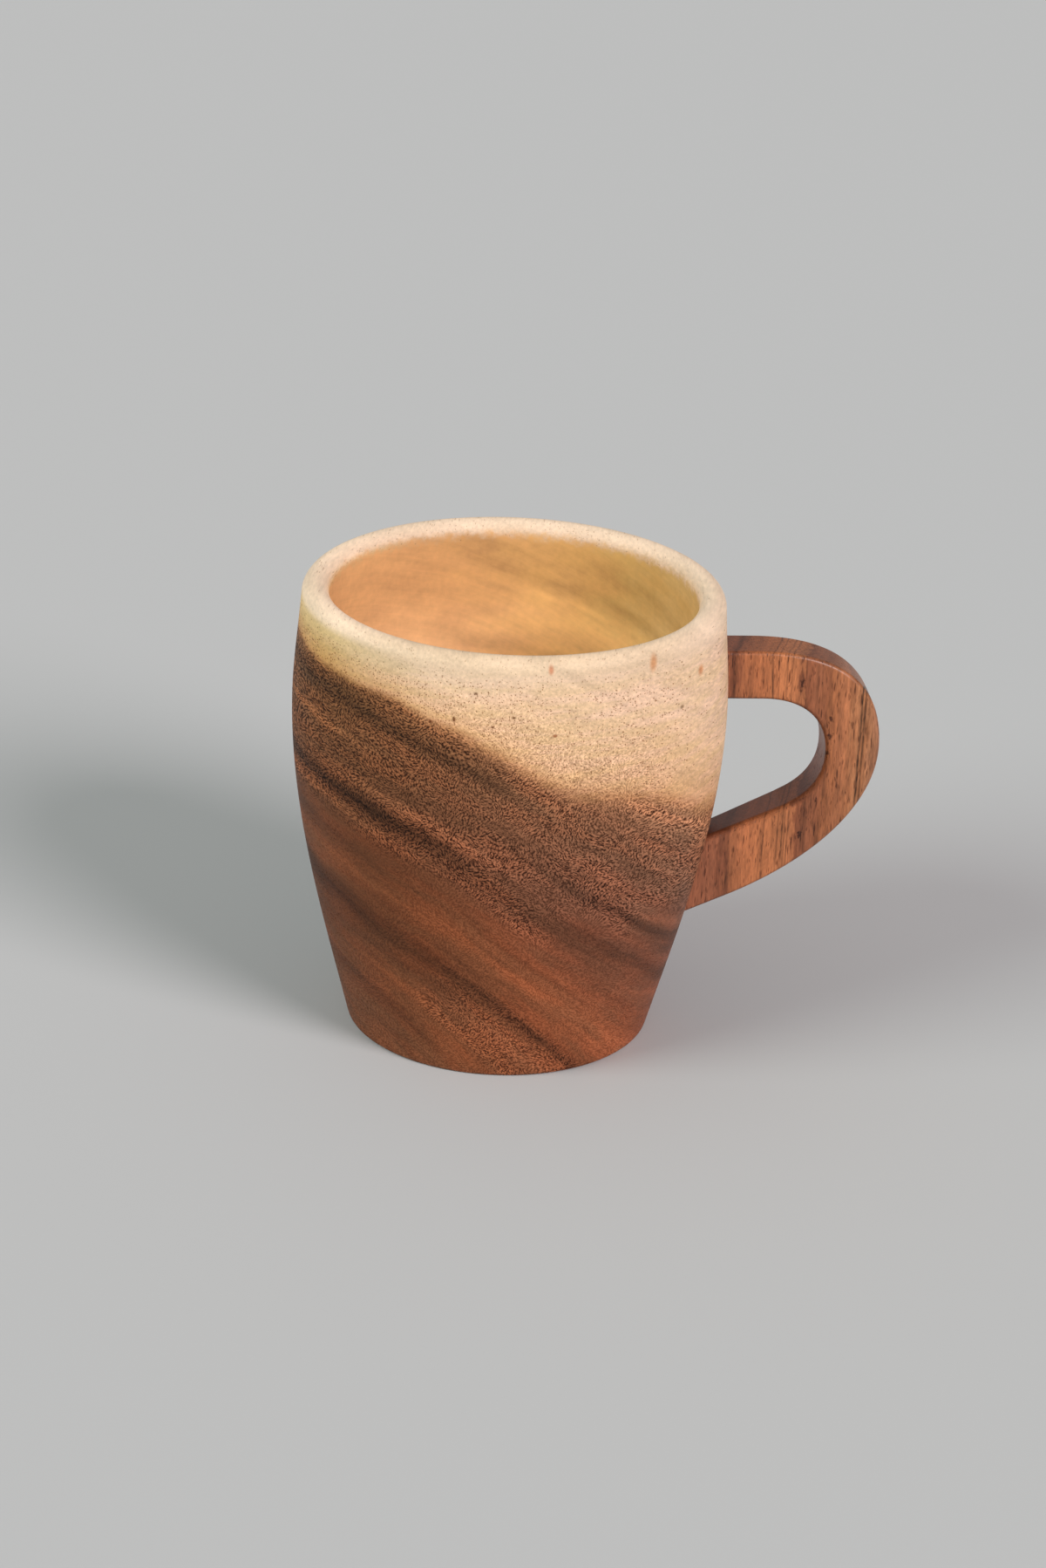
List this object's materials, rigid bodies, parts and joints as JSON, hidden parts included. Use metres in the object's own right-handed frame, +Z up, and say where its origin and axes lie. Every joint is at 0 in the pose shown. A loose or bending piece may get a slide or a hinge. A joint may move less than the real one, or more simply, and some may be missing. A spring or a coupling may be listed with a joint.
{
  "type": "wooden beer mug",
  "caption": "Barrel-shaped drinking mug turned from one block of two-tone hardwood, with a full-round lip and a sawn wooden loop handle pinned to its side.",
  "frame": {"origin": "centre of the flat base, on the surface that the mug stands on", "axes": "+Z up along the axis that the body is turned on, +X towards the handle, +Y completes a right-handed frame"},
  "size_m": [0.1394, 0.1026, 0.11],
  "materials": {
    "two_tone_hardwood": "oiled satin, pale sapwood over brown heartwood with open pores",
    "handle_hardwood": "oiled satin, orange-brown with dark upright pore lines",
    "dowel_wood": "bare sanded"
  },
  "bodies": {
    "root": {"mug_body": "two_tone_hardwood", "handle": "handle_hardwood", "upper_dowel": "dowel_wood", "lower_dowel": "dowel_wood"}
  },
  "joints": []
}
